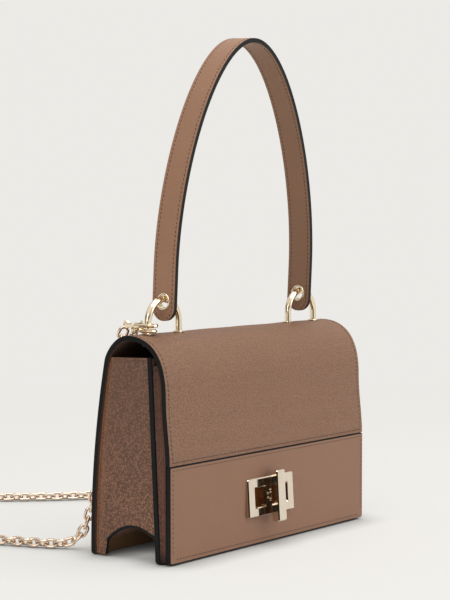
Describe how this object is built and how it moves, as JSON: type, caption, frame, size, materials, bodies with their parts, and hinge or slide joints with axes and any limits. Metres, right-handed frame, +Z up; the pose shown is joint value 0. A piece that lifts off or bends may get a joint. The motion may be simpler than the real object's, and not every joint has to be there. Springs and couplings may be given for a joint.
{
  "type": "leather crossbody bag",
  "caption": "Boxy leather flap bag with a turn lock, an arched strap handle on wire arches, a slim front pocket and a chain strap on bolt snaps.",
  "frame": {"origin": "on the surface that the bag stands on, at the middle of the bag without its chain strap", "axes": "+Z up, +X to the right of the front, -Y towards the front flap"},
  "size_m": [0.2685, 0.3437, 0.3673],
  "materials": {
    "pebbled_leather": "pebbled taupe brown leather with black painted edges",
    "smooth_leather": "smooth taupe brown leather with black painted edges",
    "gusset_leather": "darker pebbled leather",
    "lining_leather": "dark matt lining",
    "strap_leather": "smooth leather with black painted edges and stitching",
    "gold_hardware": "polished pale gold",
    "gold_chain": "polished pale gold chain"
  },
  "bodies": {
    "bag_body": {"back_panel": "pebbled_leather", "back_lining": "lining_leather", "gusset_left": "gusset_leather", "gusset_right": "gusset_leather", "base_panel": "gusset_leather", "divider_panel": "pebbled_leather", "pocket_front": "smooth_leather", "pocket_gusset_left": "gusset_leather", "pocket_gusset_right": "gusset_leather", "pocket_base": "gusset_leather", "keeper_plate": "gold_hardware", "chain_hang_front_clip": "gold_chain", "chain_on_floor": "gold_chain", "chain_hang_rear_clip": "gold_chain"},
    "flap": {"flap_shell": "pebbled_leather", "flap_front_panel": "smooth_leather", "flap_lining": "lining_leather", "lock_plate": "gold_hardware", "lock_backplate": "gold_hardware", "lock_rivet_1": "gold_hardware", "lock_rivet_2": "gold_hardware", "lock_rivet_3": "gold_hardware", "lock_rivet_4": "gold_hardware", "handle_arch_left": "gold_hardware", "handle_arch_right": "gold_hardware", "arch_anchor_left": "gold_hardware", "arch_anchor_right": "gold_hardware", "arch_nut_left_outer": "gold_hardware", "arch_nut_left_inner": "gold_hardware", "arch_nut_right_outer": "gold_hardware", "arch_nut_right_inner": "gold_hardware", "snap_hook_1": "gold_hardware", "snap_hook_2": "gold_hardware"},
    "turn_lock": {"turn_bar": "gold_hardware", "lock_tongue": "gold_hardware", "tongue_screw": "gold_hardware"},
    "handle": {"handle_strap": "strap_leather", "handle_lining": "strap_leather", "eyelet_left": "gold_hardware", "eyelet_right": "gold_hardware"},
    "snap_bolt_1": {"snap_bolt_1": "gold_hardware"},
    "snap_bolt_2": {"snap_bolt_2": "gold_hardware"},
    "snap_eye_1": {"snap_eye_1": "gold_hardware"},
    "snap_eye_2": {"snap_eye_2": "gold_hardware"}
  },
  "joints": [
    {"name": "flap_hinge", "type": "hinge", "parent": "bag_body", "child": "flap", "pos_m": [0, 0.02981, 0.137], "axis": [-1, 0, 0], "range_deg": [0, 105], "deforming": ["chain_hang_front_clip", "chain_hang_rear_clip"]},
    {"name": "lock_turn", "type": "hinge", "parent": "flap", "child": "turn_lock", "pos_m": [-0.0055, -0.03209, 0.035], "axis": [0, -0.9981, 0.061], "range_deg": [0, 90]},
    {"name": "handle_swing", "type": "hinge", "parent": "flap", "child": "handle", "pos_m": [0, 0.00551, 0.1792], "axis": [1, 0, 0], "range_deg": [-45, 95]},
    {"name": "snap_bolt_1_slide", "type": "slide", "parent": "flap", "child": "snap_bolt_1", "axis": [0, 1, 0], "range_m": [0, 0.0056], "stiffness_N_per_m": 60, "springref_m": -0.004},
    {"name": "snap_bolt_2_slide", "type": "slide", "parent": "flap", "child": "snap_bolt_2", "axis": [0.4067, 0.9135, 0], "range_m": [0, 0.0056], "stiffness_N_per_m": 60, "springref_m": -0.004},
    {"name": "snap_eye_1_swivel", "type": "hinge", "parent": "flap", "child": "snap_eye_1", "pos_m": [-0.0995, 0.02131, 0.1615], "axis": [0, 1, 0], "continuous": true},
    {"name": "snap_eye_2_swivel", "type": "hinge", "parent": "flap", "child": "snap_eye_2", "pos_m": [-0.09307, 0.01994, 0.1578], "axis": [0.4067, 0.9135, 0], "continuous": true}
  ]
}
